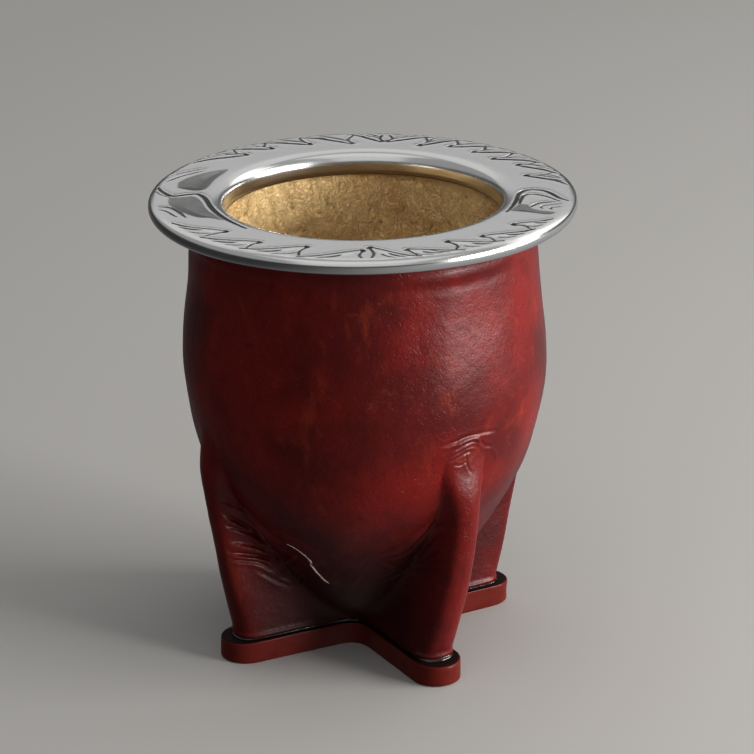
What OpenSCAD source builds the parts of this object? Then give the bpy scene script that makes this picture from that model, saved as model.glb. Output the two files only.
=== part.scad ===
// Leather-covered mate cup: a gourd shell in a leather cover that ends in four
// fins, a cross-shaped leather sole under them, and a wide metal rim on the mouth.
// The cup stands on its sole at z = 0, on the Z axis, with the fins along X and Y.

/* [Cup] */
// Height from the table to the top of the metal rim
cup_h = 100; // [80:1:130]
// Width of the open mouth, inside the metal collar
mouth_d = 58; // [45:1:75]
// Height at which the belly is widest
belly_z = 63.5; // [50:0.5:68]
// How far the belly stands out past the neck
belly_out = 2.05; // [0.5:0.05:8]
// Fullness of the belly's underside: 2 is round, less is more pointed
belly_power = 1.7; // [1.4:0.05:2.4]
// Length of the straight neck under the rim
neck_len = 8; // [4:0.5:12]

/* [Walls] */
// Thickness of the gourd's shell
gourd_wall = 4.9; // [3:0.1:8]
// Thickness of the leather cover
leather_t = 1.8; // [1.2:0.1:3]
// Clearance between the gourd and the pieces that it touches
fit_gap = 0.1; // [0.05:0.05:0.3]

/* [Metal rim] */
// Thickness of the sheet metal
sheet_t = 0.8; // [0.5:0.1:1.2]
// How far the rim stands out past the neck
rim_out = 8.3; // [5:0.1:14]
// Radius of the rolled outer edge
bead_r = 1.85; // [1.2:0.05:2.5]
// Radius of the rounded lip at the mouth
lip_r = 3; // [1.8:0.1:4]
// Depth of the collar inside the mouth, from the top of the rim
collar_h = 5.7; // [4.5:0.1:10]

/* [Fins] */
// Height at which the fins stand out most
crest_z = 44; // [34:0.5:50]
// How far the fins stand out past the widest part of the belly
crest_out = 0.65; // [0.2:0.05:4]
// Height at which the fins have sunk back into the belly
fin_top_z = 56; // [52:0.5:62]
// Drop of the fins' shoulder between those two heights
shoulder_drop = 2.6; // [1.5:0.1:5]
// Bend of the fins' outer edge: 1 is straight, more is rounder
crest_power = 1.27; // [1:0.01:2]
// Radius of the fins' rounded edge at the foot
foot_r = 3.6; // [2.5:0.1:4.5]
// Radius of the fins' rounded edge at mid height
crest_r = 3.3; // [2.5:0.1:4.5]
// Radius of the fins' rounded edge where it meets the belly
shoulder_r = 5; // [3:0.1:6]
// Height over which the edge widens to that radius
shoulder_rise = 11; // [8:0.5:14]
// Angle by which each side of a fin spreads towards the belly, above the foot
fin_spread = 6; // [0:0.5:10]
// Height over which the sides reach that angle
spread_z = 35; // [20:1:44]
// Softness of the blend between the fins and the belly
blend = 4.5; // [2:0.5:8]

/* [Sole] */
// Thickness of the sole
sole_t = 4.8; // [3:0.1:8]
// Length of the sole from tip to tip
sole_span = 70; // [55:1:85]
// Width of the sole's arms
arm_w = 10.4; // [8:0.1:16]
// Radius of the inside corners between the arms
crotch_r = 4; // [2:0.5:8]
// How far the sole stands out past the foot of each fin
sole_edge = 3; // [1:0.1:5]

/* [Hidden] */
$fn = 96;

mouth_r = mouth_d / 2;
gourd_bore_r = mouth_r + sheet_t + fit_gap;
neck_r = gourd_bore_r + gourd_wall + fit_gap + leather_t;
belly_r = neck_r + belly_out;
rim_r = neck_r + rim_out;
shell_top = cup_h - sheet_t - fit_gap;
neck_z = shell_top - neck_len;

// The belly's outline runs on a little below the sole's top, which cuts it to a flat foot.
base_sink = 0.5;
base_z = sole_t - base_sink;

sole_reach = sole_span / 2;
foot_reach = sole_reach - sole_edge;
crest_reach = belly_r + crest_out;

// How far the gourd's faces lie inside the cover's outside.
gourd_inset = leather_t + fit_gap;
hollow_inset = gourd_inset + gourd_wall;

quadrants = 4;
steps_per_quadrant = 24;
ring = quadrants * steps_per_quadrant;
// More points stand near the fins than between them.
crowding = 1.6;
outline_steps = 30;

colour_leather = [0.36, 0.09, 0.06];
colour_sole = [0.42, 0.12, 0.08];
colour_gourd = [0.79, 0.64, 0.40];
colour_metal = [0.78, 0.78, 0.78];

function clamp01(t) = min(max(t, 0), 1);

// Smooth step from 0 to 1 as t goes from 0 to 1.
function smooth_step(t) = let (c = clamp01(t)) c * c * (3 - 2 * c);

// Maximum of a and b with the corner between them rounded over the width k.
function soft_max(a, b, k) =
    let (near = max(k - abs(a - b), 0) / k)
    max(a, b) + near * near * k / 4;

// Radius of the belly at height z, on an outline that lies inset inside the cover's.
function body_r(z, inset = 0) =
    z >= belly_z
    ? neck_r - inset + belly_out * pow(cos(90 * clamp01((z - belly_z) / (neck_z - belly_z))), 2)
    : (belly_r - inset)
      * pow(1 - pow(clamp01((belly_z - z) / (belly_z - base_z - inset)), belly_power), 1 / belly_power);

// Distance of a fin's outer edge from the axis at height z.
function fin_reach(z) =
    z < crest_z
    ? foot_reach
      + (crest_reach - foot_reach) * (1 - pow(1 - (z - sole_t) / (crest_z - sole_t), crest_power))
    : crest_reach - shoulder_drop * pow((z - crest_z) / (fin_top_z - crest_z), 2);

// Polar radius of a fin's cross-section at the angle a from its middle: a round
// edge of radius r, and flat sides that spread by the given angle towards the axis.
function fin_polar(a, reach, r, spread) =
    let (centre = reach - r)
    centre <= r ? 0 :
    let (turn = atan(r * cos(spread) / (centre + r * sin(spread))))
    abs(a) < turn
    ? centre * cos(a) + sqrt(max(pow(r, 2) - pow(centre * sin(a), 2), 0))
    : (centre * sin(spread) + r) / sin(abs(a) + spread);

// Polar radius of the cover's outside at height z and the angle a from the nearest fin.
function cover_r(z, a) =
    let (up = clamp01((z - sole_t) / (spread_z - sole_t)))
    let (top = smooth_step((z - crest_z) / shoulder_rise + 0.5))
    let (edge_r = foot_r + (crest_r - foot_r) * up + (shoulder_r - crest_r) * top)
    soft_max(body_r(z), fin_polar(a, fin_reach(z), edge_r, fin_spread * up), blend);

// Angle from the nearest fin of point i of a quadrant, and its angle round the axis.
function fin_angle(i) =
    let (t = 2 * i / steps_per_quadrant - 1)
    45 * sign(t) * pow(abs(t), crowding);
function ring_angle(k) =
    90 * floor(k / steps_per_quadrant) + fin_angle(k % steps_per_quadrant);

// Heights of the cover's rings: close together at the fins, further apart at the neck.
fin_rings = 18;
neck_rings = 8;
cover_z = concat(
    [for (i = [0 : fin_rings - 1]) sole_t + (fin_top_z - sole_t) * i / fin_rings],
    [for (i = [0 : neck_rings]) fin_top_z + (shell_top - fin_top_z) * i / neck_rings]
);

module cover_outside() {
    last = len(cover_z) - 1;
    points = concat(
        [for (z = cover_z) for (k = [0 : ring - 1])
            let (a = ring_angle(k), r = cover_r(z, fin_angle(k % steps_per_quadrant)))
            [r * cos(a), r * sin(a), z]],
        [[0, 0, sole_t], [0, 0, shell_top]]
    );
    bottom = len(points) - 2;
    top = len(points) - 1;
    faces = concat(
        [for (i = [0 : last - 1]) for (k = [0 : ring - 1])
            let (n = (k + 1) % ring)
            each [
                [i * ring + k, (i + 1) * ring + k, (i + 1) * ring + n],
                [i * ring + k, (i + 1) * ring + n, i * ring + n]
            ]],
        [for (k = [0 : ring - 1]) [bottom, k, (k + 1) % ring]],
        [for (k = [0 : ring - 1]) [top, last * ring + (k + 1) % ring, last * ring + k]]
    );
    polyhedron(points, faces);
}

// Solid of revolution of the belly's outline at the given inset, up to the height top.
module body_solid(inset, top) {
    low = base_z + inset;
    // Steps that shorten towards the bottom, where the outline turns in.
    rise = [for (i = [0 : outline_steps]) low + (neck_z - low) * pow(i / outline_steps, 2)];
    rotate_extrude()
        polygon(concat(
            [[0, low]],
            [for (i = [1 : outline_steps]) [body_r(rise[i], inset), rise[i]]],
            [[neck_r - inset, top], [0, top]]
        ));
}

module sole() {
    color(colour_sole)
        linear_extrude(sole_t)
            union() {
                for (a = [0, 90]) rotate(a) {
                    square([sole_span - arm_w, arm_w], center = true);
                    for (side = [-1, 1])
                        translate([side * (sole_reach - arm_w / 2), 0])
                            circle(d = arm_w);
                }
                for (a = [0 : 90 : 270]) rotate(a)
                    translate([arm_w / 2, arm_w / 2])
                        difference() {
                            square(crotch_r);
                            translate([crotch_r, crotch_r]) circle(crotch_r);
                        }
            }
}

module leather_cover() {
    color(colour_leather)
        difference() {
            cover_outside();
            body_solid(leather_t, cup_h);
        }
}

module gourd() {
    lip_z = cup_h - lip_r;
    color(colour_gourd)
        difference() {
            body_solid(gourd_inset, shell_top);
            body_solid(hollow_inset, cup_h);
            // The mouth's edge is eased to sit under the metal lip.
            difference() {
                translate([0, 0, lip_z]) cylinder(h = lip_r, r = mouth_r + lip_r);
                rotate_extrude()
                    translate([mouth_r + lip_r, lip_z]) circle(lip_r - sheet_t - fit_gap);
            }
        }
}

module metal_rim() {
    lip_x = mouth_r + lip_r;
    lip_z = cup_h - lip_r;
    color(colour_metal)
        rotate_extrude()
            union() {
                // Plate and rolled edge
                translate([lip_x, cup_h - sheet_t]) square([rim_r - bead_r - lip_x, sheet_t]);
                translate([rim_r - bead_r, cup_h - bead_r]) circle(bead_r);
                // Rounded lip
                intersection() {
                    translate([lip_x, lip_z])
                        difference() {
                            circle(lip_r);
                            circle(lip_r - sheet_t);
                        }
                    translate([mouth_r, lip_z]) square(lip_r);
                }
                // Collar
                translate([mouth_r, cup_h - collar_h]) square([sheet_t, collar_h - lip_r]);
            }
}

sole();
leather_cover();
gourd();
metal_rim();
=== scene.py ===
"""Leather-covered mate cup, laid out as an add-on and run as a script.

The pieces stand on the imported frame: the sole, the line of glue on it, the leather cover
with its four fins, the gourd shell and the metal rim. Lengths are in metres.
"""

import random
from math import cos, pi, radians, sin, tau

import bmesh
import bpy
import numpy as np
from bpy.props import FloatProperty, FloatVectorProperty, IntProperty, PointerProperty
from mathutils import Matrix, Vector, noise


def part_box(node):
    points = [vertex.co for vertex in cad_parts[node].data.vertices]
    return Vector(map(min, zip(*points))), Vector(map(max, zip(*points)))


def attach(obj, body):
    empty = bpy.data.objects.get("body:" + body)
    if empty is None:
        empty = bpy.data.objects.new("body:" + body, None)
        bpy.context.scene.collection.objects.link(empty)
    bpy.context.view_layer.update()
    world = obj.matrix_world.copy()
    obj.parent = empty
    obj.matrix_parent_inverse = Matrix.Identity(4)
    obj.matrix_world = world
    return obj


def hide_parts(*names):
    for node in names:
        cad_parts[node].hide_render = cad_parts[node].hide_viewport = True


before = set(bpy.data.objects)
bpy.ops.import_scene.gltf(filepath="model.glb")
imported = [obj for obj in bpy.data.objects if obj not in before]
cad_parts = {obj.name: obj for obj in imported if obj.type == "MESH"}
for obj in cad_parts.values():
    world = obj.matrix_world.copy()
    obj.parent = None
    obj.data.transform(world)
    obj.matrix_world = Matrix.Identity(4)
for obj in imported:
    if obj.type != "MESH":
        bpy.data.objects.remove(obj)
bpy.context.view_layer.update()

bl_info = {
    "name": "Mate Cup",
    "version": (1, 0, 0),
    "blender": (4, 5, 0),
    "location": "3D View > Sidebar > Mate Cup",
    "description": "Builds a leather-covered gourd cup with an engraved metal rim",
    "category": "Add Mesh",
}

MM = 0.001  # metres
BODY = "root"
SOLE_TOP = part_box("sole")[1].z
SOLE_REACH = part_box("sole")[1].x
COVER_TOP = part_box("leather_cover")[1].z
CREST_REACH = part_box("leather_cover")[1].x
GOURD_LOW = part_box("gourd")[0].z
RIM_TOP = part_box("metal_rim")[1].z
RIM_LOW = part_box("metal_rim")[0].z
RIM_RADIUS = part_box("metal_rim")[1].x
COVER_STEPS, SOLE_STEPS, GOURD_STEPS, RIM_STEPS = 330, 360, 520, 380  # once round
SCRAPES = 620


# ---- settings

def length(name, description, value):
    return FloatProperty(name=name, description=description, default=value * MM, unit="LENGTH")


def angle(name, description, degrees):
    return FloatProperty(name=name, description=description, default=radians(degrees), subtype="ANGLE")


def colour(name, description, red, green, blue):
    """A colour in the display's 0 to 255 values, kept as linear light."""
    linear = [((c / 255 + 0.055) / 1.055) ** 2.4 if c > 10 else c / 255 / 12.92 for c in (red, green, blue)]
    return FloatVectorProperty(name=name, description=description, default=linear,
            subtype="COLOR", size=3, min=0, max=1)


class CoverSettings(bpy.types.PropertyGroup):
    """Sizes of the leather cover's belly and fins"""

    neck_radius: length("Neck radius", "Outside of the cover under the rim", 36.7)
    neck_height: length("Neck height", "Where the straight neck starts", 91.1)
    belly_height: length("Belly height", "Where the belly is widest", 63.5)
    belly_out: length("Belly", "Belly past the neck", 2.05)
    belly_power: FloatProperty(name="Fullness", description="Fullness of the belly's underside",
            default=1.7, min=1.4, max=2.4)
    leather: length("Leather", "Thickness of the leather", 1.8)
    crest_height: length("Crest height", "Where the fins stand out most", 44)
    fin_top: length("Fin top", "Where the fins sink back into the belly", 56)
    shoulder_drop: length("Shoulder drop", "Drop of the edge between those", 3.0)
    crest_power: FloatProperty(name="Crest bend", description="Bend of the fins' outer edge",
            default=1.27, min=1, max=2)
    sole_edge: length("Sole edge", "Sole that shows past the foot of a fin", 3)
    foot_radius: length("Foot radius", "Rounding of the edge at the foot", 4.2)
    crest_radius: length("Crest radius", "Rounding of the edge at mid height", 3.1)
    shoulder_radius: length("Shoulder radius", "Rounding of the edge at the top", 5)
    fin_spread: angle("Spread", "Angle of a fin's sides above its foot", 4)
    spread_height: length("Spread height", "Where the sides reach that angle", 35)
    blend: length("Blend", "Softness of the join of fins and belly", 5.4)
    tuck: length("Tuck", "Drawing in of the belly between the fins", 1.6)


class SoleSettings(bpy.types.PropertyGroup):
    """Sizes of the cross-shaped sole and the glue on it"""

    arm_width: length("Arm width", "Width of the sole's arms", 10.4)
    crotch: length("Crotch", "Softness of the corners between the arms", 7)
    edge: length("Edge", "Rounding of the cut edges", 0.45)
    glue: length("Glue", "Height of the line of glue under the fins", 1.1)


class GourdSettings(bpy.types.PropertyGroup):
    """Sizes of the gourd shell"""

    wall: length("Wall", "Thickness of the shell", 4.9)
    gap: length("Gap", "Clearance round the gourd", 0.1)


class RimSettings(bpy.types.PropertyGroup):
    """Sizes of the metal rim and its engraving"""

    mouth_radius: length("Mouth radius", "Inside of the collar", 29)
    sheet: length("Sheet", "Thickness of the metal", 0.8)
    lip: length("Lip", "Radius of the rounded lip", 3)
    bead: length("Bead", "Radius of the rolled edge", 1.85)
    stroke_depth: length("Stroke depth", "Depth of the engraved strokes", 0.24)
    stroke_width: length("Stroke width", "Half width of the engraved strokes", 0.5)
    field_depth: length("Field depth", "Depth of the scooped fields", 0.34)
    base_depth: length("Base depth", "Plate below the raised leaves", 0.2)
    motif_turn: angle("Scroll turn", "Direction of the looped scroll", -28.5)
    seed: IntProperty(name="Seed", description="Seed of the uneven leaves", default=4, min=0)


class StageSettings(bpy.types.PropertyGroup):
    """Camera, floor and light"""

    turn: angle("Turn", "Camera's direction round the cup", -28.5)
    rise: angle("Rise", "Camera's height above the horizon", 20.62)
    roll: angle("Roll", "Roll of the camera", 0.646)
    distance: length("Distance", "From the camera to its aim", 731.3)
    aim_side: length("Aim aside", "Aim point, to the right of the axis", 2.57)
    aim_height: length("Aim height", "Aim point, above the floor", 58.5)
    lens: FloatProperty(name="Lens", description="Focal length in mm on a 36 mm sensor",
            default=163.3, min=20, max=300)


class Colours(bpy.types.PropertyGroup):
    """Colours of the leather, gourd, metal and floor"""

    leather: colour("Leather", "Dyed leather", 103, 15, 8)
    # Dark dye in the clouds and mottle, and also the colour of the painted shade low on the cover.
    leather_dark_and_shade: colour("Leather, dark", "Where the dye is thick", 72, 8, 5)
    # Painted shade under the belly between the fins, not a colour of the dye.
    leather_painted_shade: colour("Leather, deep", "Where the dye has pooled", 40, 4, 3)
    leather_worn: colour("Leather, worn", "Where the dye is thin", 136, 52, 24)
    leather_raw: colour("Leather, raw", "Rubbed edges of the folds", 236, 218, 208)
    sole_side: colour("Sole side", "Cut edge of the sole", 86, 24, 16)
    # Painted shade on the sole's upper face.
    sole_top: colour("Sole top", "Upper face of the sole", 30, 9, 7)
    glue: colour("Glue", "Line of glue and dye", 16, 8, 6)
    gourd: colour("Gourd", "Dry gourd", 248, 218, 162)
    gourd_brown: colour("Gourd, brown", "Stained gourd", 204, 144, 72)
    gourd_gouge: colour("Gouges", "Scraped marks in the gourd", 134, 92, 46)
    metal: colour("Metal", "Polished metal", 212, 211, 208)
    metal_groove: colour("Grooves", "Tarnish in the grooves", 58, 55, 52)
    floor: colour("Floor", "Plain floor", 166, 163, 159)


class MateCup(bpy.types.PropertyGroup):
    """All settings of the cup"""

    cover: PointerProperty(type=CoverSettings)
    sole: PointerProperty(type=SoleSettings)
    gourd: PointerProperty(type=GourdSettings)
    rim: PointerProperty(type=RimSettings)
    stage: PointerProperty(type=StageSettings)
    colours: PointerProperty(type=Colours)


# ---- shader graphs

class Value:
    """An output of a shader node. Arithmetic on it adds Math nodes."""

    def __init__(self, graph, socket):
        self.graph = graph
        self.socket = socket

    def _math(self, operation, *values):
        return self.graph.add("ShaderNodeMath", {"operation": operation}, *values)

    def __add__(self, other):
        return self._math("ADD", self, other)

    def __radd__(self, other):
        return self._math("ADD", other, self)

    def __sub__(self, other):
        return self._math("SUBTRACT", self, other)

    def __rsub__(self, other):
        return self._math("SUBTRACT", other, self)

    def __mul__(self, other):
        return self._math("MULTIPLY", self, other)

    def __rmul__(self, other):
        return self._math("MULTIPLY", other, self)

    def __pow__(self, other):
        return self._math("POWER", self, other)

    def at_least(self, other):
        return self._math("MAXIMUM", self, other)

    def away_from(self, middle):
        return self._math("ABSOLUTE", self - middle)


class Graph:
    """The node tree of a material or a world, written as expressions."""

    def __init__(self, owner):
        owner.use_nodes = True
        self.owner = owner
        self.tree = owner.node_tree
        self.tree.nodes.clear()
        self.place = self.add("ShaderNodeTexCoord", output="Object")

    def add(self, kind, settings=None, *values, output=0, sockets=(), **named):
        """Adds a node: its settings, then its sockets by order, number or name."""
        node = self.tree.nodes.new(kind)
        for key, value in (settings or {}).items():
            setattr(node, key, value)
        filled = {**dict(enumerate(values)), **dict(sockets)}
        filled.update({key.replace("_", " "): value for key, value in named.items()})
        for key, value in filled.items():
            if isinstance(value, Value):
                self.tree.links.new(value.socket, node.inputs[key])
            elif value is not None:
                node.inputs[key].default_value = value
        return Value(self, node.outputs[output]) if node.outputs else None

    def axes(self, vector):
        """The three coordinates of a vector."""
        return [self.add("ShaderNodeSeparateXYZ", None, vector, output=k) for k in range(3)]

    def attribute(self, name):
        return self.add("ShaderNodeAttribute", {"attribute_name": name}, output="Fac")

    def noise(self, size, detail=3, roughness=0.5, distortion=0, place=None):
        """Soft noise whose features are about the given size in millimetres."""
        return self.add("ShaderNodeTexNoise", None, Vector=place or self.place,
                Scale=1 / (size * MM), Detail=detail, Roughness=roughness, Distortion=distortion)

    def band(self, value, low, high):
        """0 below low, 1 above high and a smooth step between, or the reverse."""
        return self.add("ShaderNodeMapRange", {"interpolation_type": "SMOOTHSTEP"},
                value, low, high, 0.0, 1.0)

    def mix(self, factor, first, second):
        """A colour between first and second. Sockets 6 and 7 are a Mix node's colours."""
        colours = [tint if isinstance(tint, Value) else (*tint, 1) for tint in (first, second)]
        return self.add("ShaderNodeMix", {"data_type": "RGBA"},
                factor, output=2, sockets={6: colours[0], 7: colours[1]})

    def stretched(self, scale, turn=(0, 0, 0)):
        """The object's coordinates turned and then scaled along each axis."""
        return self.add("ShaderNodeMapping", {"vector_type": "TEXTURE"}, Vector=self.place,
                Rotation=turn, Scale=scale)

    def bump(self, height, distance, strength=1.0, below=None):
        """A bump of the given height in millimetres, on top of the one below."""
        return self.add("ShaderNodeBump", None, Height=height, Distance=distance * MM,
                Strength=strength, Normal=below)

    def finish(self, **sockets):
        """Ends the graph in a Principled shader and returns the material."""
        shader = self.add("ShaderNodeBsdfPrincipled", None, **sockets)
        self.add("ShaderNodeOutputMaterial", None, shader)
        return self.owner


# ---- mesh helpers

def flat_grid(rows, steps):
    """A flat grid to be wrapped round Z: x is the share of a turn, y the row's number."""
    mesh = bmesh.new()
    bmesh.ops.create_grid(mesh, x_segments=steps, y_segments=rows - 1, size=0.5)
    bmesh.ops.translate(mesh, verts=mesh.verts, vec=(0.5, 0.5, 0))
    bmesh.ops.scale(mesh, verts=mesh.verts, vec=(1, rows - 1, 1))
    return mesh


def make_finer(mesh, chosen):
    """Halves the edges whose two ends are both chosen."""
    mesh.verts.index_update()
    edges = [e for e in mesh.edges if chosen[e.verts[0].index] and chosen[e.verts[1].index]]
    bmesh.ops.subdivide_edges(mesh, edges=edges, cuts=1, use_grid_fill=True)


def wrap_up(mesh, points):
    """Moves a grid's vertices to the points, then closes its seam and its poles."""
    place_points(mesh, points)
    bmesh.ops.remove_doubles(mesh, verts=mesh.verts, dist=1e-6)
    bmesh.ops.recalc_face_normals(mesh, faces=mesh.faces)


def along(outline, rows):
    """Radius and height at each row number, which may lie between two rows."""
    radii, heights = zip(*outline)
    numbers = np.arange(len(outline))
    return np.interp(rows, numbers, radii), np.interp(rows, numbers, heights)


def wrapped(mesh, outline):
    """Where each vertex of the flat grid comes to lie, and its row number."""
    share, rows, _ = points_of(mesh).T
    radius, height = along(outline, rows)
    return around(radius, share * tau, height), rows


def turned(outline, steps):
    """A bmesh of the outline, radius and height by point, turned once round Z."""
    mesh = flat_grid(len(outline), steps)
    wrap_up(mesh, wrapped(mesh, outline)[0])
    return mesh


def around(radius, theta, height):
    """Points at a radius, an angle round Z and a height."""
    return np.column_stack([radius * np.cos(theta), radius * np.sin(theta), height])


def points_of(mesh):
    return np.array([v.co for v in mesh.verts])


def arc(x, z, radius, start, end, count):
    """Radius and height of points on an arc between two angles in degrees from outwards."""
    return [(x + radius * cos(b), z + radius * sin(b)) for b in np.radians(np.linspace(start, end, count))]


def radius_of(points):
    return np.hypot(points[:, 0], points[:, 1])


def normals_of(mesh):
    mesh.normal_update()
    return np.array([v.normal for v in mesh.verts])


def place_points(mesh, points):
    for vert, point in zip(mesh.verts, points):
        vert.co = point


def mark(mesh, name, shares):
    """Keeps one number for each vertex as an attribute that a material reads."""
    layer = mesh.verts.layers.float.new(name)
    for vert, share in zip(mesh.verts, shares):
        vert[layer] = share


def add_object(name, data):
    thing = bpy.data.objects.new(name, data)
    bpy.context.scene.collection.objects.link(thing)
    return thing


def add_mesh(mesh, name, material):
    """Makes the bmesh an object of the given material."""
    data = bpy.data.meshes.new(name)
    mesh.to_mesh(data)
    mesh.free()
    data.materials.append(material)
    return add_object(name, data)


def put_on_frame(mesh, name, material, slot, *nodes):
    """Makes the piece's object, smooth and riding on the frame in place of the nodes."""
    for face in mesh.faces:
        face.smooth = True
    piece = add_mesh(mesh, name, material)
    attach(piece, BODY)
    if nodes:
        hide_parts(*nodes)


def fractal(points, size, octaves=3, shift=0.0):
    """Soft noise of about -1 to 1 at each point, with features of the given size."""
    offset = Vector((shift, shift, shift))
    return np.array([noise.fractal(Vector(p) / size + offset, 1.0, 2.0, octaves) for p in points])


def smooth_line(points, count=40):
    """A smooth curve through given points, as count points."""
    p = np.array(points, float)
    p = np.vstack([2 * p[0] - p[1], p, 2 * p[-1] - p[-2]])
    place = np.linspace(0, len(p) - 3, count)
    i = np.minimum(place.astype(int), len(p) - 4)
    f = (place - i)[:, None]
    a, b, c, d = p[i], p[i + 1], p[i + 2], p[i + 3]
    return b + f / 2 * (c - a + f * (2 * a - 5 * b + 4 * c - d + f * (3 * (b - c) + d - a)))


def near_line(points, line, reach):
    """The points within reach of a line: their numbers, their distances from it, their
    places on it from 0 to 1 and the vectors from it to them."""
    low, high = line.min(axis=0) - reach, line.max(axis=0) + reach
    found = np.flatnonzero(((points >= low) & (points <= high)).all(axis=1))
    stretch = np.diff(line, axis=0)
    gap = points[found][:, None] - line[:-1]
    place = np.clip((gap * stretch).sum(axis=2) / (stretch ** 2).sum(axis=1), 0, 1)
    gap = gap - place[..., None] * stretch
    away = np.linalg.norm(gap, axis=2)
    best = away.argmin(axis=1)
    row = np.arange(len(found))
    share = (best + place[row, best]) / len(stretch)
    close = away[row, best] < reach
    return found[close], away[row, best][close], share[close], gap[row, best][close]


def keep_most(values, found, new):
    values[found] = np.maximum(values[found], new)


def step(value, low, high):
    """Smooth step of an array from 0 at low to 1 at high."""
    t = np.clip((value - low) / (high - low), 0, 1)
    return t * t * (3 - 2 * t)


def soft_max(a, b, k):
    """Maximum of a and b, with the corner between them rounded over the width k."""
    near = np.maximum(k - np.abs(a - b), 0) / k
    return np.maximum(a, b) + near * near * k / 4


# ---- shape of the cover

def body_radius(cover, z, inset=0.0):
    """Radius of the belly at height z, on an outline that lies inset inside it."""
    base = SOLE_TOP - 0.5 * MM
    widest = cover.neck_radius + cover.belly_out - inset
    up = np.clip((z - cover.belly_height) / (cover.neck_height - cover.belly_height), 0, 1)
    down = np.clip((cover.belly_height - z) / (cover.belly_height - base - inset), 0, 1)
    above = cover.neck_radius - inset + cover.belly_out * np.cos(up * pi / 2) ** 2
    below = widest * (1 - down ** cover.belly_power) ** (1 / cover.belly_power)
    return np.where(z >= cover.belly_height, above, below)


def rise(cover, z):
    """0 at a fin's foot and 1 at its crest."""
    return np.clip((z - SOLE_TOP) / (cover.crest_height - SOLE_TOP), 0, 1)


def tucked(cover, z):
    """How far the belly is drawn in between the fins at height z."""
    return cover.tuck * np.sin(pi * rise(cover, z)) ** 2


def fin_reach(cover, z):
    """Distance of a fin's outer edge from the axis at height z."""
    foot = SOLE_REACH - cover.sole_edge
    over = np.maximum(z - cover.crest_height, 0) / (cover.fin_top - cover.crest_height)
    rising = foot + (CREST_REACH - foot) * (1 - (1 - rise(cover, z)) ** cover.crest_power)
    return rising - cover.shoulder_drop * over ** 2


def fin_polar(turn, reach, edge, spread):
    """Polar radius of a fin's cross-section at the angle turn from its middle."""
    centre = np.maximum(reach - edge, 1e-6)
    tangent = np.arctan2(edge * np.cos(spread), centre + edge * np.sin(spread))
    tip = centre * np.cos(turn) + np.sqrt(np.maximum(edge ** 2 - (centre * np.sin(turn)) ** 2, 0))
    side = (centre * np.sin(spread) + edge) / np.sin(np.maximum(np.abs(turn) + spread, 1e-3))
    return np.where(centre <= edge, 0, np.where(np.abs(turn) < tangent, tip, side))


# For each fin, going round from +X: turn of its foot and its crest from the true cross,
# its sway between them, how far its crest stands out and how flat its shoulder is.
FOOT_TURNS = np.radians([1.3, 0.0, -1.4, 0.4])
CREST_TURNS = np.radians([-0.5, 0.5, -2.5, 5.5])
SWAY = np.radians([0.0, 0.8, 0.0, 2.75])
CREST_SHIFT = np.array([0.8, 0.0, -0.8, 0.0]) * MM
SHOULDER_FLAT = np.array([0.3, 0.4, 0.1, 1.2]) * MM
FACET = radians(6)
FACET_SOFTNESS = 1.4 * MM
SHOULDER_REACH = 5.5 * MM  # above and below the crest, over which the edge widens
FOOT_LIFT = 0.9 * MM  # the foot's height above the sole, in the glue


def cover_radius(cover, z, turn, fin):
    """Polar radius of the cover at height z and the angle turn from the given fin."""
    up = np.clip((z - SOLE_TOP) / (cover.spread_height - SOLE_TOP), 0, 1)
    top = step(z - cover.crest_height, -SHOULDER_REACH, SHOULDER_REACH)
    edge = cover.foot_radius + (cover.crest_radius - cover.foot_radius) * up
    edge = edge + (cover.shoulder_radius - cover.crest_radius) * top
    reach = fin_reach(cover, z) + CREST_SHIFT[fin] * rise(cover, z)
    ridge = fin_polar(turn, reach, edge, cover.fin_spread * up)
    facet = (reach - SHOULDER_FLAT[fin] * top) * cos(FACET) / np.cos(np.abs(turn) - FACET)
    ridge = -soft_max(-ridge, -facet, FACET_SOFTNESS)
    blend = cover.blend * (1 - 0.6 * top)
    return soft_max(body_radius(cover, z) - tucked(cover, z), ridge, blend)


def fin_and_turn(theta, power):
    """The nearest fin and the angle from it, for evenly spaced angles crowded to the fins."""
    fin = np.round(theta / (pi / 2)).astype(int)
    share = (theta - fin * pi / 2) / (pi / 4)
    return fin, pi / 4 * np.sign(share) * np.abs(share) ** power


def swung(fin, turn, up):
    """Angle round the axis: the fin's true angle, its own turn and the angle from it."""
    hand = FOOT_TURNS[fin % 4]
    hand = hand + (CREST_TURNS[fin % 4] - hand) * up
    hand = hand + SWAY[fin % 4] * np.sin(pi * up)
    return fin * pi / 2 + turn + hand * np.cos(2 * turn) ** 2


def on_cover(cover, fin, turn, z, share=1.0):
    """Points on the cover, or at a share of its radius."""
    theta = swung(fin, turn, rise(cover, z))
    return around(cover_radius(cover, z, turn, fin % 4) * share, theta, z)


def cross_shape(mesh, radius_at):
    """Moves each vertex out to radius_at(own radius, height, turn)."""
    points = points_of(mesh)
    x, y, z = points.T
    fin, turn = fin_and_turn(np.arctan2(y, x), 1.6)
    radius = radius_at(radius_of(points), z, turn, fin % 4)
    place_points(mesh, around(radius, swung(fin, turn, 0.0), z))


# ---- folds of the leather

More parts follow.
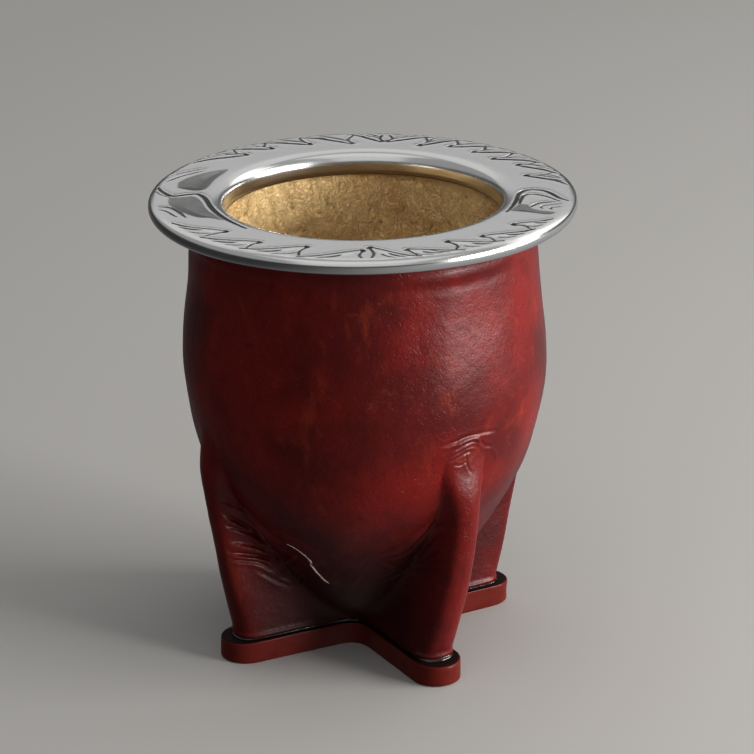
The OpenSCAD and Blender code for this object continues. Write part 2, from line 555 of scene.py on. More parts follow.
# Each fold: its kind, its height and width in millimetres, and the points it is drawn
# through, as degrees from the fin's middle and millimetres above the floor.
SHOULDER = (
    ("crease", 0.22, 0.4, ((-9.5, 56), (-3, 57), (5, 57.1), (13, 56.4))),
    ("ridge", 0.12, 0.3, ((-9, 55.2), (-5.5, 55.6), (-3, 56))),
    ("ridge", 0.18, 0.36, ((-5, 55.2), (-1.5, 56.3), (2, 56.4), (5, 55.4))),
    ("crease", 0.17, 0.3, ((-5.5, 54.3), (-1.5, 55.3), (2, 55.6), (4.5, 54.7))),
    ("crease", 0.15, 0.3, ((-6, 53.2), (-1.8, 54.2), (2, 54.7), (4, 54))),
    ("crease", 0.15, 0.3, ((-6, 52), (-1.8, 53.3), (1.2, 53.7))),
    ("crease", 0.1, 0.24, ((-5, 51.2), (-2.5, 51), (-0.5, 51.4))),
    ("crease", 0.07, 0.26, ((-0.5, 53.2), (-0.4, 51.3), (0.3, 49.7), (1.4, 48.6))),
    ("crease", 0.14, 0.34, ((5, 55.3), (7.5, 53.8), (11, 52.9))),
    ("ridge", 0.07, 0.4, ((7.5, 53), (11, 52.4), (13.6, 51), (15.5, 49))),
    ("ridge", 0.14, 0.6, ((6.6, 51.5), (6.6, 47), (6.2, 42), (5.6, 37), (5, 30))),
)
VALLEY = (
    ("crease", 0.55, 0.42, ((5, 38.4), (8.5, 34.9), (12, 31.2), (16, 27.6), (26, 26.4))),
    ("ridge", 0.4, 0.7, ((8, 36.3), (12, 33), (16, 30), (23, 28))),
    ("crease", 0.5, 0.4, ((4.6, 35.4), (7.2, 30.7), (8.7, 27.4), (12, 26.2))),
    ("crease", 0.45, 0.36, ((4.8, 32.6), (7.6, 29), (8.5, 27.2))),
    ("ridge", 0.4, 0.5, ((5, 27.8), (7.3, 25.7), (8.6, 24.6), (14, 25.7))),
    ("crease", 0.5, 0.36, ((4.8, 26.2), (8, 23.6), (9.6, 22.6))),
    ("ridge", 0.45, 0.5, ((9.2, 22.9), (12, 22.2), (20, 24.2), (26, 26))),
    ("crease", 0.55, 0.4, ((8.6, 24.2), (13.5, 22.6), (20, 20.8), (24, 20.4))),
    ("edge", 0.36, 0.3, ((22, 30), (28, 28.8), (32, 26.8), (35, 24))),
    ("edge", 0.36, 0.3, ((31.5, 25.6), (33.5, 23), (37, 20.2), (41, 18.4))),
    ("ridge", 0.3, 0.45, ((9.5, 19.4), (13, 18.8), (17, 19.8))),
    ("crease", 0.35, 0.34, ((5.4, 24), (7.4, 22.8), (9, 20.4))),
    ("crease", 0.3, 0.34, ((7.6, 21), (9.4, 17.6), (11, 16))),
    ("crease", 0.25, 0.34, ((10, 15.4), (15, 17), (21, 20))),
)

# Which folds each fin has, on which hand of it, and how strong they are.
FOLDED = (
    (0, 1, SHOULDER, 0.5), (1, 1, SHOULDER, 0.6), (2, 1, SHOULDER, 0.12),
    (3, 1, SHOULDER, 1.0), (2, 1, VALLEY, 1.3), (2, -1, VALLEY, 0.8),
    (1, 1, VALLEY, 0.75), (1, -1, VALLEY, 0.6), (0, 1, VALLEY, 0.65),
    (0, -1, VALLEY, 0.3), (3, 1, VALLEY, 0.25), (3, -1, VALLEY, 0.5),
)
FOLD_REACH = 12  # how far a fold moves the leather, in its own widths
WORN_WIDTH = 0.7 * MM


def fold_profile(kind, side, away, width):
    """Share of a fold's height at the distance away from its line."""
    near = np.exp(-(away / width) ** 2)
    beside = np.exp(-((away / width - 2.1) / 1.1) ** 2)
    if kind == "crease":
        return 0.45 * beside - near
    if kind == "ridge":
        return near - 0.35 * beside
    return step(side, -0.5 * width, 0.5 * width) * np.exp(-np.maximum(side, 0) / (9 * width))


def fold_lift(cover, points, normals, folds, fin, hand, strength, draw):
    """Height that a fin's folds add to each point, and how worn they leave it.

    The draw makes the copies of a fold differ."""
    lift, worn = np.zeros(len(points)), np.zeros(len(points))
    for kind, height, width, marks in folds:
        turns, heights = np.array(marks).T
        loose = strength < 1
        turns = np.radians(turns + draw.uniform(-1, 1) * loose) * hand
        heights = (heights + draw.uniform(-1.2, 1.2) * loose) * MM
        line = smooth_line(on_cover(cover, np.full(len(marks), fin), turns, heights))
        found, away, share, gap = near_line(points, line, FOLD_REACH * width * MM)
        way = np.gradient(line, axis=0)[np.round(share * (len(line) - 1)).astype(int)]
        side = np.sign((np.cross(normals[found], way) * gap).sum(axis=1)) * away * hand
        taper = np.clip(5 * np.minimum(share, 1 - share), 0, 1)
        profile = fold_profile(kind, side, away, width * MM)
        lift[found] += strength * height * MM * profile * taper * (2 - taper)
        if kind == "edge" and not loose:
            keep_most(worn, found, taper * np.exp(-(away / WORN_WIDTH) ** 2))
    return lift, worn


def wrinkles(cover, points):
    """Fine wrinkles, about 1 mm apart, where the fins' sides sink into the belly."""
    x, y, z = points.T
    radius = radius_of(points)
    out = radius - body_radius(cover, z)
    mask = step(z, 10 * MM, 18 * MM) * step(-z, -39 * MM, -31 * MM)
    mask *= step(out, -0.5 * MM, 2.5 * MM) * step(9 * MM - out, 0, 7 * MM)
    down, across = (z + radius) / (4 * MM), (z - radius) / (1.3 * MM)
    flow = np.column_stack([down, across, np.arctan2(y, x) * 5])
    return mask * (0.5 - np.abs(fractal(flow, 1.0, 2, 5.0))) * 0.3 * MM


def chart(mesh, outline, last):
    """Fin, angle from it, own radius and height of each vertex of the flat grid, and
    whether it is on the outside."""
    share, rows, _ = points_of(mesh).T
    fin, turn = fin_and_turn(share * tau, 1.5)
    return fin, turn, *along(outline, rows), rows < last + 0.01


def near_folds(cover, fin, turn, z):
    """Whether the grid is made finer there for the folds of every fin."""
    away = np.abs(turn)
    valley = (away > radians(3)) & (away < radians(38))
    valley &= (z > 15 * MM) & (z < cover.crest_height - 4 * MM)
    return valley | (away < radians(20)) & (np.abs(z - 52.5 * MM) < 6.5 * MM)


def near_shoulder(cover, fin, turn, z):
    """Whether it is made finer once more, on the front and left fins."""
    left = (fin == 2) & (turn > radians(4)) & (turn < radians(40))
    left &= (z > 16 * MM) & (z < 39 * MM)
    front = (fin == 3) & (np.abs(turn) < radians(16))
    return left | front & (np.abs(z - 53 * MM) < 5 * MM)


def leather_lift(cover, points, normals):
    """Height that the folds and the unevenness add to each point, and its wear."""
    lift = fractal(points, 17 * MM, 2) * 0.25 * MM
    above_foot = (points[:, 2] - SOLE_TOP - FOOT_LIFT) / (1.3 * MM)
    lift += 0.5 * MM * np.clip(1 - above_foot, 0, 1) ** 2
    neck = points[:, 2] - 92 * MM + fractal(points, 20 * MM, 1, 2.0) * 0.5 * MM
    lift += 0.28 * MM * np.exp(-(neck / (0.9 * MM)) ** 2)
    lift -= 0.22 * MM * np.exp(-((neck + 2 * MM) / (1.2 * MM)) ** 2)
    draw = random.Random(3)
    worn = np.zeros(len(points))
    for fin, hand, folds, strength in FOLDED:
        more, rubbed = fold_lift(cover, points, normals, folds, fin, hand, strength, draw)
        lift, worn = lift + more, np.maximum(worn, rubbed)
    return lift + wrinkles(cover, points), worn


def scraped(cover, hollow, low, points):
    """1 along short scraped marks on the inner wall and 0 away from them."""
    draw = random.Random(11)
    marks = np.zeros(len(points))
    for _ in range(SCRAPES):
        theta, z = draw.uniform(0, tau), draw.uniform(low + 25 * MM, RIM_LOW)
        size, lean = draw.uniform(1, 4) * MM, draw.uniform(-1.2, 1.2)
        ends = np.linspace(-0.5, 0.5, 3)
        heights = z + size * ends * sin(lean) + draw.uniform(0, 0.3) * size * ends ** 2
        radii = body_radius(cover, heights, hollow)
        turns = theta + size * ends * cos(lean) / radii
        line = smooth_line(around(radii, turns, heights), 9)
        width = draw.uniform(0.18, 0.4) * MM
        found, away, share, _ = near_line(points, line, 3 * width)
        taper = np.clip(4 * np.minimum(share, 1 - share), 0, 1)
        keep_most(marks, found, np.exp(-(away / width) ** 2) * taper)
    return marks


# ---- engraving of the rim

PLATE_EDGE, PLATE_MIDDLE = 43.3, 40  # millimetres from the axis


def leaf_strokes(length, tip, veins, draw):
    """Strokes of one leaf, from its raised pad, whose depth is below 0, to its veins.

    Each is its points, as millimetres along the rim and from the axis, then its width and
    depth as shares of a full stroke and its tarnish."""
    edge = PLATE_EDGE
    bend = (edge + tip) / 2
    back = draw.uniform(0.9, 1.12) * length
    strokes = [
        (((0.35 * length, edge - 1), (0.62 * length, bend + 0.4), (0.9 * length, tip + 1.2)),
         3.2, -0.6, 0.0),
        (((0, edge), (0.3 * length, edge - 1.5), (0.68 * length, bend - 1.2), (length, tip)),
         1.0, 1.0, 0.9),
        (((length - 0.4, tip + 0.1), (length + 0.2, tip + 0.6), (length - 0.1, tip + 1.5)),
         1.3, 1.2, 1.0),
        (((length, tip + 1), (length - 0.6, bend), (back, edge - 0.6)), 0.8, 0.9, 0.9)]
    for k in range(veins):
        root = length * (0.3 + 0.5 * k / veins) + draw.uniform(-0.4, 0.4)
        reach = draw.uniform(0.24, 0.4) * length
        drop = (edge - tip) * draw.uniform(0.34, 0.5)
        strokes.append((((root, edge - 0.2), (root + 0.55 * reach, edge - 0.45 * drop),
                (min(root + reach, length - 0.8), edge - drop)), 0.75, 0.85, 0.9))
    return strokes


# The scrolls at the two sides of the rim, drawn as the leaves are: strokes, the outlines
# of the scooped fields, and the stretches of rim that leaves fill on either hand.
LOOP_SCROLL = (
    ((((-17.8, 32.7), (-9, 32.5), (-1.9, 32.8), (0.9, 34.8), (0, 38.2), (-4.6, 41.2),
       (-6.4, 43.3)), 1.2, 1.2, 1),
     (((-10.4, 33.6), (-6.9, 33.4), (-3.5, 33.8), (-2.4, 35.6), (-4, 38.6), (-7, 41.6)),
      0.95, 1.1, 1),
     (((-12.2, 36.4), (-10, 36.9), (-8.3, 38.4), (-7.3, 40.6)), 0.9, 1, 1),
     (((-12.6, 39), (-11.2, 38.4), (-9.8, 39.6), (-8.4, 42)), 0.75, 0.9, 0.9),
     (((-12.6, 41), (-11.4, 40.6), (-10.2, 42.6)), 0.7, 0.8, 0.9)),
    (((-17, 32.9), (-11, 33.4), (-10.6, 35.4), (-13, 37), (-13.8, 39.6), (-14, 42.4),
      (-16.2, 41.4), (-16.4, 36.4)),),
    ((1, 4, 49), (-1, 18, 57)))
FIELD_SCROLL = (
    ((((-5, 43.4), (-2.4, 42.2), (0.7, 39.8), (-0.2, 36.6), (-0.4, 34.4), (4, 32.8), (13, 32.5),
       (23.6, 32.6), (30.8, 33)), 1.3, 1.3, 1),
     (((-2.6, 43.4), (-0.6, 42.4), (1.5, 40.4)), 0.7, 0.9, 0.7),
     (((7.4, 43), (8.6, 40.8), (12, 39.6), (16, 39.4)), 1, 1, 1),
     (((9.2, 43.2), (11, 41.8), (15, 41)), 0.8, 0.9, 0.9),
     (((-9, 42.6), (-13, 41), (-18.6, 38)), 0.8, 0.9, 0.9),
     (((-13, 43.2), (-16.4, 41), (-20.4, 38.6)), 0.7, 0.9, 0.9)),
    (((-4.9, 39.6), (-9.7, 40), (-16.6, 37.6), (-22, 34.4), (-20.6, 33.2), (-13, 32.8),
      (-4.8, 33), (-2.9, 35.6)),
     ((1.6, 40.8), (1.5, 38), (1, 35.4), (5, 33.8), (13, 33.5), (22.6, 33.2), (19, 35.4),
      (16.6, 37.8), (7.6, 40.8))),
    ((1, 18, 57), (-1, 22, 67)))


def on_rim(rim, half, side, place, marks, closed=False):
    """A smooth line in the rim's plane, through marks given as the leaves' are."""
    marks = marks + marks[:1] if closed else marks
    along_rim, radius = smooth_line(marks, 60 if closed else 40).T
    theta = rim.motif_turn + radians(half) + side * (place + along_rim) / PLATE_MIDDLE
    return np.column_stack([radius * np.cos(theta), radius * np.sin(theta)]) * MM


def engraved_lines(rim):
    """The strokes, as line, half width, depth and tarnish, and the fields' outlines."""
    draw = random.Random(rim.seed)
    drawn, fields = [], []
    for half, (scroll, outlines, leafy) in ((0, LOOP_SCROLL), (180, FIELD_SCROLL)):
        drawn += [(half, 1, 0.0, stroke) for stroke in scroll]
        fields += [on_rim(rim, half, 1, 0.0, outline, closed=True) for outline in outlines]
        for side, place, end in leafy:
            while place < end:
                length = draw.uniform(7, 12.5)
                leaf = leaf_strokes(length, draw.uniform(35.6, 38.4), draw.choice((1, 2, 3)), draw)
                drawn += [(half, side, place, stroke) for stroke in leaf]
                place += length * draw.uniform(0.8, 1.0)
    return [(on_rim(rim, half, side, place, marks), width * rim.stroke_width,
             depth * rim.stroke_depth, tarnish)
            for half, side, place, (marks, width, depth, tarnish) in drawn], fields


def within(points, outline):
    """Whether each point of the plane lies inside a closed outline."""
    x, y = points.T[:, :, None]
    (ax, ay), (bx, by) = outline[:-1].T, outline[1:].T
    spans = (ay > y) != (by > y)
    crossing = ax + (bx - ax) * (y - ay) / np.where(by == ay, 1, by - ay)
    return (spans & (x < crossing)).sum(axis=1) % 2 == 1


def engrave(rim, points, strokes, fields):
    """Height, tarnish and nearness of the engraving at each point of the rim's plate."""
    flat = points[:, :2]
    low, high, dark = np.zeros(len(points)), np.zeros(len(points)), np.zeros(len(points))
    near = np.full(len(points), 9 * MM)
    for outline in fields:
        found, away, _, _ = near_line(flat, outline, 5 * MM)
        inside = within(flat[found], outline)
        keep_most(low, found, rim.field_depth * inside * step(away, 0, 3.2 * MM))
        keep_most(dark, found, 0.66 * inside * step(away, 0, 0.3 * MM))
        near[found] = np.minimum(near[found], np.where(inside, np.minimum(away, 0.6 * MM), away))
    for line, width, depth, tarnish in strokes:
        found, away, share, _ = near_line(flat, line, width + 1.3 * MM)
        taper = 0.4 + 0.6 * np.clip(4 * np.minimum(share + 0.06, 1.06 - share), 0, 1)
        inside = np.clip(1 - away / (width * taper), 0, 1)
        if depth < 0:
            keep_most(high, found, step(inside, 0, 1) * taper * -depth)
            near[found] = np.minimum(near[found], np.maximum(away - width, 0.6 * MM))
            continue
        edge = np.exp(-(np.maximum(away - width * taper, 0) / (0.4 * MM)) ** 2)
        keep_most(low, found, depth * taper * inside ** 0.8)
        keep_most(high, found, 0.25 * depth * taper * edge * (inside == 0))
        keep_most(dark, found, tarnish * step(inside * width, 0, 0.25 * MM))
        near[found] = np.minimum(near[found], np.maximum(away - width, 0))
    return high - low - rim.base_depth, dark, near


# ---- materials

def leather_material(tone):
    """Glossy dyed leather: cloudy dye, fine grain, thin wandering creases, and painted shade low down and
    under the belly.
    """
    g = Graph(bpy.data.materials.new("dyed_leather"))
    worn = g.attribute("worn")
    x, y, z = g.axes(g.place)
    radius = (x * x + y * y) ** 0.5
    clouds = g.noise(24, 3, 0.55)
    mottle = g.noise(5, 5, 0.7, 0.8)
    runs = g.noise(6, 4, 0.6, place=g.stretched((1, 1, 2.6)))
    fine = g.noise(0.5)
    # Painted shade: near-black leather under the belly between the fins, where shade falls; the same mask
    # takes the coat away there.
    under_belly_shade = g.band(radius + clouds * (16 * MM), 45 * MM, 27 * MM) * g.band(z, 56 * MM, 26 * MM)
    tint = g.mix(g.band(clouds, 0.36, 0.64), tone.leather_dark_and_shade, tone.leather)
    tint = g.mix(g.band(mottle, 0.56, 0.8) * 0.45, tint, tone.leather_worn)
    tint = g.mix(g.band(runs, 0.58, 0.78) * 0.4, tint, tone.leather_worn)
    tint = g.mix(g.band(mottle, 0.48, 0.3) * 0.5, tint, tone.leather_dark_and_shade)
    # Painted shade: the cover grows darker towards the bottom, more so on the fins' outer parts.
    low = g.band(z, 52 * MM, 30 * MM) * (0.25 + g.band(radius, 35 * MM, 40 * MM) * 0.4)
    tint = g.mix(low, tint, tone.leather_dark_and_shade)
    tint = g.mix(under_belly_shade * 0.8, tint, tone.leather_painted_shade)
    tint = g.mix(g.band(worn + g.noise(1.3, 3, 0.6), 0.95, 1.3), tint, tone.leather_raw)
    crease = g.band(g.noise(5, 3, 0.6, 1.2).away_from(0.5), 0.022, 0) * g.band(clouds, 0.5, 0.62)
    scratch = g.noise(0.5, 2, place=g.stretched((1, 12, 1), (0.7, 0.5, 0.9)))
    other = g.noise(0.5, 2, place=g.stretched((12, 1, 1), (0.2, 0.9, 0.4)))
    scratch = g.band(scratch.at_least(other), 0.62, 0.78)
    grain = g.add("ShaderNodeTexVoronoi", {"feature": "F1"}, Vector=g.place,
            Scale=1 / (0.7 * MM), output="Distance")
    bump = g.bump(g.noise(2.2, 4, 0.6), 0.22, 0.7)
    bump = g.bump(grain * 0.6 + fine * 0.6, 0.035, 0.6, bump)
    bump = g.bump(crease * -0.4 - scratch * 0.4, 0.12, 0.8, bump)
    rough = 0.3 + mottle * 0.14 + scratch * 0.08 + fine * 0.06 + under_belly_shade * 0.1
    return g.finish(Base_Color=tint, Roughness=rough, Specular_IOR_Level=0.22,
            Coat_Weight=0.15 - under_belly_shade * 0.15, Coat_Roughness=0.2, Normal=bump)


def sole_material(tone):
    """Thick leather: dyed cut edge, and an upper face made dark by painted shade."""
    g = Graph(bpy.data.materials.new("sole_leather"))
    up = g.axes(g.add("ShaderNodeNewGeometry", output="Normal"))[2]
    streaks = g.noise(3, 4, 0.55, place=g.stretched((1, 1, 0.5)))
    side = g.mix(g.band(streaks, 0.5, 0.78) * 0.6, tone.sole_side, tone.leather_dark_and_shade)
    # Painted shade: faces that look up get the dark colour of the shade beside the fins; they are also
    # rougher and have no coat.
    face = g.band(up, 0.55, 0.9)
    tint = g.mix(face, side, tone.sole_top)
    bump = g.bump(streaks + g.noise(0.5) * 0.4, 0.1, 0.6)
    return g.finish(Base_Color=tint, Roughness=0.36 + streaks * 0.22 + face * 0.2,
            Specular_IOR_Level=0.1, Coat_Weight=0.14 - face * 0.14, Coat_Roughness=0.25, Normal=bump)


def glue_material(tone):
    """Dark, glossy glue."""
    g = Graph(bpy.data.materials.new("dark_glue"))
    lumps = g.noise(1.1)
    tint = g.mix(g.band(lumps, 0.5, 0.8) * 0.6, tone.glue, tone.leather_dark_and_shade)
    return g.finish(Base_Color=tint, Roughness=0.12 + lumps * 0.2, Coat_Weight=0.4,
            Coat_Roughness=0.1, Normal=g.bump(lumps, 0.15, 0.8))


def gourd_material(tone):
    """Dry gourd: cloudy tan with swirling fibres, pits and scraped marks."""
    g = Graph(bpy.data.materials.new("dry_gourd"))
    gouge = g.attribute("gouge")
    clouds = g.noise(15, 4, 0.6)
    swirl = g.noise(3.4, 3, 0.6, 2.2)
    curl = g.noise(1.9, 2, 0.6, 2.6)
    lines = g.band(swirl.away_from(0.5), 0.05, 0.0)
    lines = lines.at_least(g.band(curl.away_from(0.52), 0.06, 0.0) * 0.8)
    fibre = g.noise(0.7, 4, 0.7)
    tint = g.mix(g.band(clouds, 0.42, 0.72) * 0.5, tone.gourd, tone.gourd_brown)
    tint = g.mix(g.band(fibre, 0.5, 0.75) * 0.25, tint, tone.gourd_brown)
    tint = g.mix(lines * g.band(clouds, 0.3, 0.6) * 0.28, tint, tone.gourd_gouge)
    tint = g.mix(g.band(gouge, 0.3, 1.0) * 0.5, tint, tone.gourd_gouge)
    bump = g.bump(swirl + curl * 0.5, 0.7, 0.6)
    bump = g.bump(fibre * 0.5 - lines, 0.3, 0.8, bump)
    return g.finish(Base_Color=tint, Roughness=0.55 + fibre * 0.25, Normal=bump)


def metal_material(tone):
    """Polished metal with tarnish in its engraved strokes."""
    g = Graph(bpy.data.materials.new("polished_metal"))
    groove = g.attribute("groove")
    swirl = g.noise(11)
    hair = g.noise(0.25, 2, place=g.stretched((1, 14, 14), (0, 0, 0.5)))
    brushed = g.noise(0.9, 4, 0.7, place=g.stretched((1, 5, 1)))
    stain = g.band(groove, 0.1, 1.0) * (0.45 + swirl * 0.55 + brushed * 0.55)
    tint = g.mix(stain, tone.metal, tone.metal_groove)
    rough = 0.14 + swirl * 0.1 + hair * 0.04 + groove * 0.15
    return g.finish(Base_Color=tint, Metallic=1.0, Roughness=rough,
            Normal=g.bump(hair * 0.2 + swirl, 0.06, 0.3))


def floor_material(tone):
    """Plain pale floor with a faint unevenness."""
    g = Graph(bpy.data.materials.new("pale_floor"))
    tint = g.mix(g.noise(400, 1) * 0.15, tone.floor, (0.5, 0.49, 0.47))
    return g.finish(Base_Color=tint, Roughness=0.9, Specular_IOR_Level=0.05)


def studio_world(turn):
    """Soft light from above the horizon. Below it is what glossy faces mirror in place of
    the floor: a grey that grows towards the right of a camera at the given turn."""
    world = bpy.data.worlds.new("studio")
    g = Graph(world)
    way = g.add("ShaderNodeTexCoord", output="Generated")
    x, y, height = g.axes(way)
    right = x * cos(turn) + y * sin(turn)
    below = g.band(height, 0.0, -0.1) * g.band(right, -0.9, 1.0) * 0.5
    glow = g.add("ShaderNodeBackground", None, (0.95, 0.97, 1, 1),
            0.06 + g.band(height, 0.1, 0.3) * 0.42 + below)
    g.add("ShaderNodeOutputWorld", None, glow)
    return world


# ---- stage

def add_camera(stage):
    """The camera, aimed beside the cup's axis and rolled a little."""
    turn, rise, roll = stage.turn, stage.rise, stage.roll
    right = Vector((cos(turn), sin(turn), 0))
    back = Vector((sin(turn) * cos(rise), -cos(turn) * cos(rise), sin(rise)))
    up = back.cross(right)
    aim = right * stage.aim_side + Vector((0, 0, stage.aim_height))
    side = cos(roll) * right - sin(roll) * up
    over = sin(roll) * right + cos(roll) * up
    data = bpy.data.cameras.new("camera")
    data.sensor_width = 36
    data.lens = stage.lens
    data.clip_start, data.clip_end = 0.01, 20
    camera = add_object("camera", data)
    spot = aim + back * stage.distance
    camera.matrix_world = Matrix.Translation(spot) @ Matrix((side, over, back)).transposed().to_4x4()
    bpy.context.scene.camera = camera


# Each lamp: its turn from the camera's right, away from the camera, and its rise in
# degrees, its distance and size in metres and its power in watts.
LAMPS = (
    ("key", -15, 12, 0.85, (0.58, 0.46), 14.4),
    ("glint", -33, 4, 0.8, (0.14, 0.1), 2.6),
    ("right", 32, 32, 1.0, (0.7, 0.6), 1.6),
    ("front", -96, 37, 1.0, (1.0, 0.6), 0.7),
    ("back", 90, 21, 1.05, (1.3, 0.22), 0.24),
    ("high", 90, 45, 1.05, (1.3, 0.62), 1.1),
    ("top", -90, 80, 1.25, (1.2, 1.2), 2.2),
)


def add_lamp(stage, name, turn, rise, distance, size, power):
    """A soft box that lights the cup and stays out of the camera's sight."""
    data = bpy.data.lights.new(name, "AREA")
    data.shape = "RECTANGLE"
    data.size, data.size_y = size
    data.energy = power
    lamp = add_object(name, data)
    a, e = radians(turn) + stage.turn, radians(rise)
    aim = Vector((0, 0, stage.aim_height))
    way = Vector((cos(a) * cos(e), sin(a) * cos(e), sin(e)))
    lamp.location = aim + way * distance
    lamp.rotation_mode = "QUATERNION"
    lamp.rotation_quaternion = way.to_track_quat("Z", "Y")
    lamp.visible_camera = False


# ---- operators

class CupOperator(bpy.types.Operator):
    """Base of the cup's operators"""

    bl_options = {"REGISTER", "UNDO"}

    def execute(self, context):
        self.build(context.scene.mate_cup)
        return {"FINISHED"}


class MATE_OT_cover(CupOperator):
    """Build the leather cover with its belly, four fins, folds and creases"""

    bl_idname = "mate.cover"
    bl_label = "Leather cover"

    def build(self, cup):
        cover = cup.cover
        foot, low = SOLE_TOP + FOOT_LIFT, SOLE_TOP + cover.leather
        ankle = foot + 1.5 * MM
        heights = [*np.linspace(foot, ankle, 7, endpoint=False), *np.linspace(ankle, COVER_TOP, 104)]
        outer = [(float(body_radius(cover, z)), z) for z in heights]
        inner = [(float(body_radius(cover, z, cover.leather)), z)
                for z in np.linspace(COVER_TOP, low, 14)[:-1]]
        cap = [(outer[0][0] * share, foot) for share in (0, 0.4, 0.8)]
        outline = cap + outer + inner + [(0, low + 0.4 * MM)]
        last = len(cap + outer) - 1
        mesh = flat_grid(len(outline), COVER_STEPS)
        for finer in (near_folds, near_shoulder):
            fin, turn, own, z, outside = chart(mesh, outline, last)
            make_finer(mesh, finer(cover, fin, turn, z) & outside)
        fin, turn, own, z, outside = chart(mesh, outline, last)
        share = np.where(outside, own / body_radius(cover, z), 1)
        skin = on_cover(cover, fin, turn, z, share)
        own = np.maximum(own - tucked(cover, z), 0)
        lining = around(own, swung(fin, turn, rise(cover, z)), z)
        wrap_up(mesh, np.where(outside[:, None], skin, lining))
        points, normals = points_of(mesh), normals_of(mesh)
        z = points[:, 2]
        between = body_radius(cover, z, cover.leather / 2) - tucked(cover, z)
        outside = radius_of(points) > between
        lift, worn = leather_lift(cover, points, normals)
        place_points(mesh, points + normals * (lift * outside)[:, None])
        mark(mesh, "worn", worn * outside)
        put_on_frame(mesh, "leather_cover_skin", leather_material(cup.colours),
                "cover_leather", "leather_cover")


class MATE_OT_sole(CupOperator):
    """Build the cross-shaped sole and the line of glue on it"""

    bl_idname = "mate.sole"
    bl_label = "Sole and glue"

    def build(self, cup):
        sole, cover = cup.sole, cup.cover
        half = sole.arm_width / 2
        edge = sole.edge
        base = 20 * MM  # radius of the outline before it becomes the cross
        outline = [(0, 0), (base / 2, 0)]
        outline += arc(base - edge, edge, edge, -90, 0, 5)
        outline += [(base, z) for z in np.linspace(edge, SOLE_TOP - edge, 8)[1:-1]]
        outline += arc(base - edge, SOLE_TOP - edge, edge, 0, 90, 5)
        outline += [(base * share, SOLE_TOP) for share in (0.9, 0.6, 0.3)] + [(0, SOLE_TOP)]
        mesh = turned(outline, SOLE_STEPS)

        def radius_at(own, z, turn, fin):
            arm = fin_polar(turn, SOLE_REACH, half, 0.0)
            other = fin_polar(pi / 2 - np.abs(turn), SOLE_REACH, half, 0.0)
            return soft_max(arm, other, sole.crotch) * own / base

        cross_shape(mesh, radius_at)
        points = points_of(mesh)
        normals = normals_of(mesh)
        rough = fractal(points, 5 * MM, 3, 7.3) * 0.16 * MM * (1 - np.abs(normals[:, 2]))
        points += normals * rough[:, None]
        points[:, 2] = np.clip(points[:, 2], 0, SOLE_TOP)
        place_points(mesh, points)
        put_on_frame(mesh, "sole_cross", sole_material(cup.colours), "sole_leather", "sole")

        heights = np.linspace(0, sole.glue + 0.3 * MM, 6)
        wide = [(base + 0.9 * MM * (1 - h / heights[-1]) ** 2 - 0.1 * MM, SOLE_TOP + h) for h in heights]
        mesh = turned([(0, SOLE_TOP)] + wide + [(0, SOLE_TOP + heights[-1])], SOLE_STEPS)

        def glue_at(own, z, turn, fin):
            edge_at = cover_radius(cover, np.full_like(z, SOLE_TOP + FOOT_LIFT), turn, fin)
            return np.where(own < base / 2, own, edge_at + own - base)

        cross_shape(mesh, glue_at)
        points = points_of(mesh)
        lumps = fractal(points, 2.2 * MM, 2, 3.1) * 0.15 * MM
        place_points(mesh, points + normals_of(mesh) * lumps[:, None])
        put_on_frame(mesh, "glue_line", glue_material(cup.colours), "sole_leather")


class MATE_OT_gourd(CupOperator):
    """Build the hollow gourd shell with its rough, scraped inside"""

    bl_idname = "mate.gourd"
    bl_label = "Gourd shell"

    def build(self, cup):
        cover, gourd, rim = cup.cover, cup.gourd, cup.rim
        inset = cover.leather + gourd.gap
        hollow = inset + gourd.wall
        top = RIM_TOP - rim.sheet - gourd.gap
        ease = rim.lip - rim.sheet - gourd.gap
        low = GOURD_LOW + gourd.wall
        outer = [(float(body_radius(cover, z, inset) - tucked(cover, z)), z)
                for z in np.linspace(GOURD_LOW, top, 28)[1:]]
        lip = arc(rim.mouth_radius + rim.lip, RIM_TOP - rim.lip, ease, 90, 180, 6)
        down = np.linspace(1, 0, 130)[1:-1] ** 1.5
        inner = [(float(body_radius(cover, z, hollow)), z) for z in low + (lip[-1][1] - low) * down]
        mesh = turned([(0, GOURD_LOW)] + outer + lip + inner + [(0, low)], GOURD_STEPS)
        points, normals = points_of(mesh), normals_of(mesh)
        inside = radius_of(points) < body_radius(cover, points[:, 2], hollow) + 0.4 * MM
        inside &= points[:, 2] < RIM_LOW + 0.5 * MM
        relief = fractal(points * (1, 1, 0.6), 1.7 * MM, 3) * 0.42 * MM
        relief += fractal(points, 9 * MM, 2) * 0.35 * MM
        marks = scraped(cover, hollow, low, points)
        relief -= marks * 0.35 * MM
        place_points(mesh, points + normals * (relief * inside)[:, None])
        mark(mesh, "gouge", marks * inside)
        put_on_frame(mesh, "gourd_shell", gourd_material(cup.colours), "gourd_shell", "gourd")


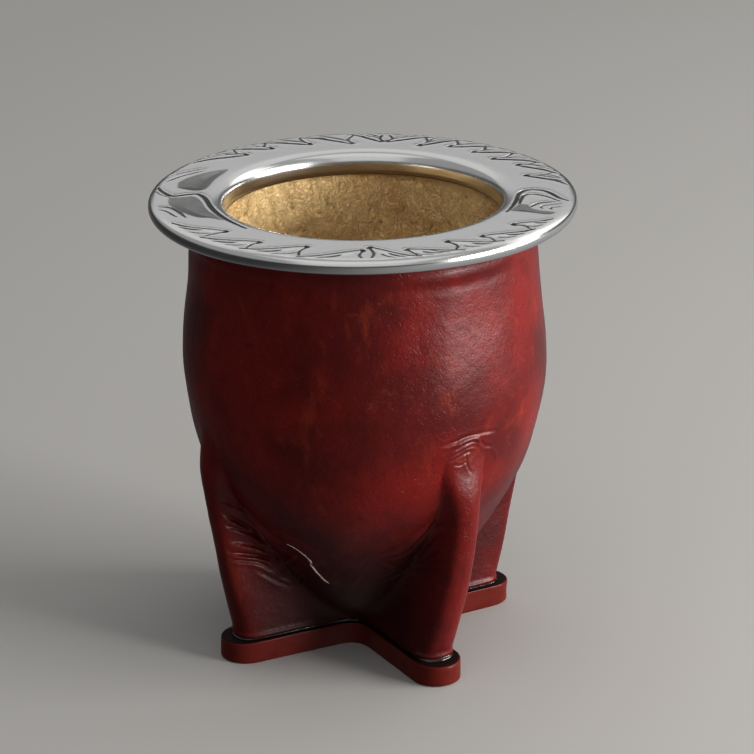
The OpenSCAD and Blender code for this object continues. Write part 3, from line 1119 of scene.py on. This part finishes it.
class MATE_OT_rim(CupOperator):
    """Build the metal rim with its rolled edge, collar and engraved leaves"""

    bl_idname = "mate.rim"
    bl_label = "Metal rim"

    def build(self, cup):
        rim = cup.rim
        inner, lip, sheet, bead = rim.mouth_radius, rim.lip, rim.sheet, rim.bead
        low = RIM_LOW + 0.6 * MM
        outline = [(inner, low), (inner, (low + RIM_TOP - lip) / 2)]
        outline += arc(inner + lip, RIM_TOP - lip, lip, 180, 90, 9)
        first = len(outline)
        bead_x = RIM_RADIUS - bead
        plate = np.linspace(inner + lip + 0.6 * MM, bead_x - 0.1 * MM, 17)
        outline += [(r, RIM_TOP) for r in plate]
        outline += arc(bead_x, RIM_TOP - bead, bead, 90, -205, 24)
        last = first + len(plate) + 3
        outline += arc(inner + lip, RIM_TOP - lip, lip - sheet, 90, 180, 9)
        outline += [(inner + sheet, low), outline[0]]
        lines = engraved_lines(rim)
        mesh = flat_grid(len(outline), RIM_STEPS)
        for reach in (0.9 * MM, 0.35 * MM):
            points, rows = wrapped(mesh, outline)
            near = engrave(rim, points, *lines)[2]
            make_finer(mesh, (near < reach) & (rows > first - 3) & (rows < last))
        points, rows = wrapped(mesh, outline)
        wrap_up(mesh, points)
        points = points_of(mesh)
        lift, dark, _ = engrave(rim, points, *lines)
        plate_only = step(points[:, 2], RIM_TOP - 0.9 * MM, RIM_TOP - 0.2 * MM)
        for vert, height in zip(mesh.verts, lift * plate_only):
            vert.co.z += height
        mark(mesh, "groove", dark * plate_only)
        put_on_frame(mesh, "metal_rim_plate", metal_material(cup.colours), "rim_metal", "metal_rim")


class MATE_OT_stage(CupOperator):
    """Set up the floor, the lights and the camera"""

    bl_idname = "mate.stage"
    bl_label = "Stage"

    def build(self, cup):
        stage = cup.stage
        scene = bpy.context.scene
        mesh = bmesh.new()
        bmesh.ops.create_grid(mesh, x_segments=1, y_segments=1, size=3)
        ground = add_mesh(mesh, "floor", floor_material(cup.colours))
        ground.visible_glossy = False

        scene.view_settings.view_transform = "Standard"
        scene.view_settings.gamma = 0.85
        add_camera(stage)
        for lamp in LAMPS:
            add_lamp(stage, *lamp)
        scene.world = studio_world(stage.turn)


class MATE_PT_panel(bpy.types.Panel):
    """Lists the cup's operators in the sidebar"""

    bl_idname = "MATE_PT_panel"
    bl_label = "Mate Cup"
    bl_space_type = "VIEW_3D"
    bl_region_type = "UI"
    bl_category = "Mate Cup"

    def draw(self, context):
        for operator in OPERATORS:
            self.layout.operator(operator.bl_idname)


SETTINGS = (CoverSettings, SoleSettings, GourdSettings, RimSettings, StageSettings, Colours,
            MateCup)
OPERATORS = (MATE_OT_sole, MATE_OT_cover, MATE_OT_gourd, MATE_OT_rim, MATE_OT_stage)


def register():
    for kind in SETTINGS + OPERATORS + (MATE_PT_panel,):
        bpy.utils.register_class(kind)
    bpy.types.Scene.mate_cup = PointerProperty(type=MateCup)


def unregister():
    del bpy.types.Scene.mate_cup
    for kind in reversed(SETTINGS + OPERATORS + (MATE_PT_panel,)):
        bpy.utils.unregister_class(kind)


def main():
    register()
    bpy.ops.mate.sole()
    bpy.ops.mate.cover()
    bpy.ops.mate.gourd()
    bpy.ops.mate.rim()
    bpy.ops.mate.stage()


if __name__ == "__main__":
    main()
